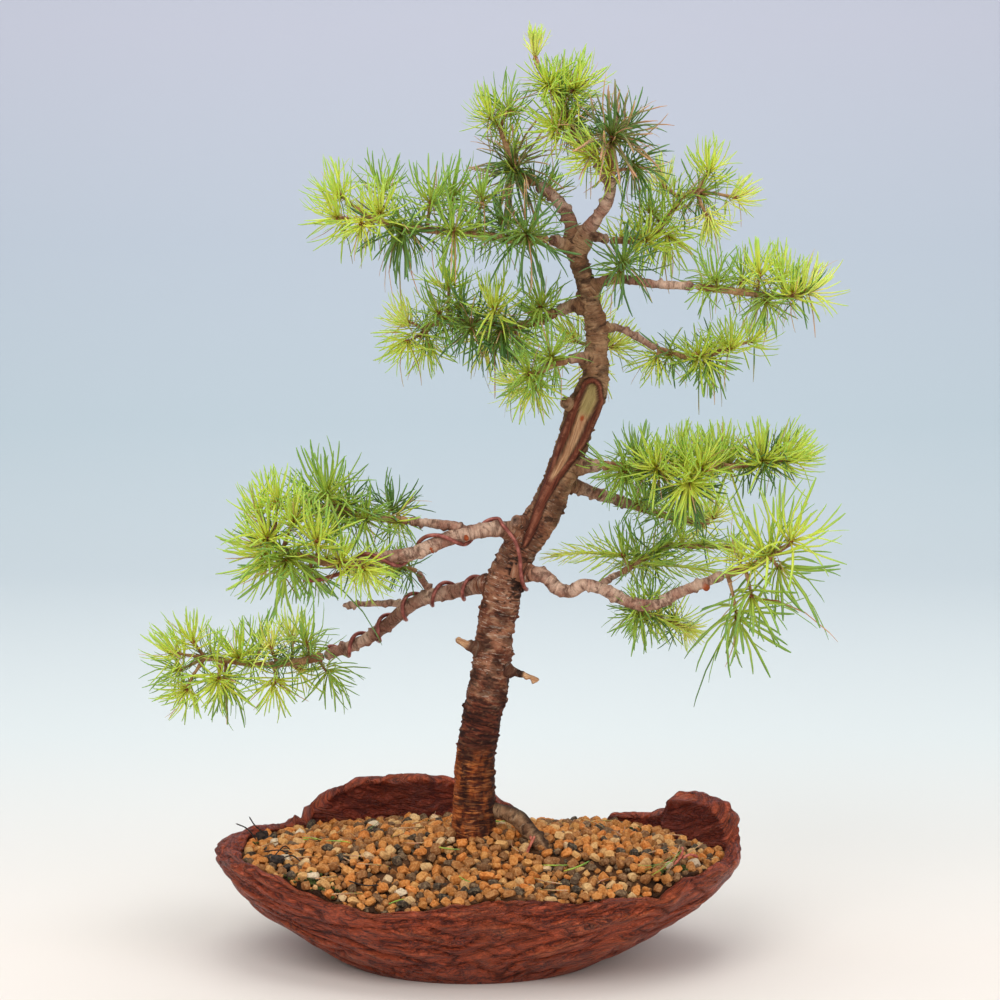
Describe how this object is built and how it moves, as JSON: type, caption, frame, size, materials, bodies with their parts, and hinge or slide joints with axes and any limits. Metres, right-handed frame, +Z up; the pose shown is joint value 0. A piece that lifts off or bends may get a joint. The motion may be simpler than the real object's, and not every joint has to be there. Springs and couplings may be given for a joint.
{
  "type": "potted bonsai larch",
  "caption": "Small trained larch with a curved scarred trunk, wired branches and tufts of soft needles, in a bark-like crescent pot of gravel.",
  "frame": {"origin": "on the surface that the pot stands on, under the middle of its foot", "axes": "+Z up, +X to the right in the front view, +Y away from the viewer"},
  "size_m": [0.4204, 0.1994, 0.5458],
  "materials": {
    "pot": "matt dark reddish-brown stoneware with bark-like wrinkles",
    "substrate": "ochre and tan gravel with a few grey, cream and black grains",
    "drain_mesh": "black plastic mesh",
    "wood": "flaking reddish-brown bark with a long scar of bare pale wood",
    "wire": "copper-brown anodised training wire, satin",
    "needles": "soft fresh green needles on thin brown twigs"
  },
  "bodies": {
    "root": {"pot": "pot", "substrate": "substrate", "drain_mesh_left": "drain_mesh", "drain_mesh_right": "drain_mesh", "wood": "wood", "training_wire": "wire", "spray_low_left": "needles", "spray_low_left_side": "needles", "spray_main_left": "needles", "spray_main_left_top": "needles", "spray_low_right": "needles", "spray_low_right_feather": "needles", "spray_low_right_under": "needles", "spray_mid_right": "needles", "spray_back_right": "needles", "spray_thin_right": "needles", "spray_long_right": "needles", "spray_long_right_base": "needles", "spray_mid_left": "needles", "spray_short_left": "needles", "spray_behind": "needles", "spray_upper_left": "needles", "spray_left_fork": "needles", "spray_right_fork": "needles", "spray_leader": "needles", "spray_right_of_fork": "needles"}
  },
  "joints": []
}
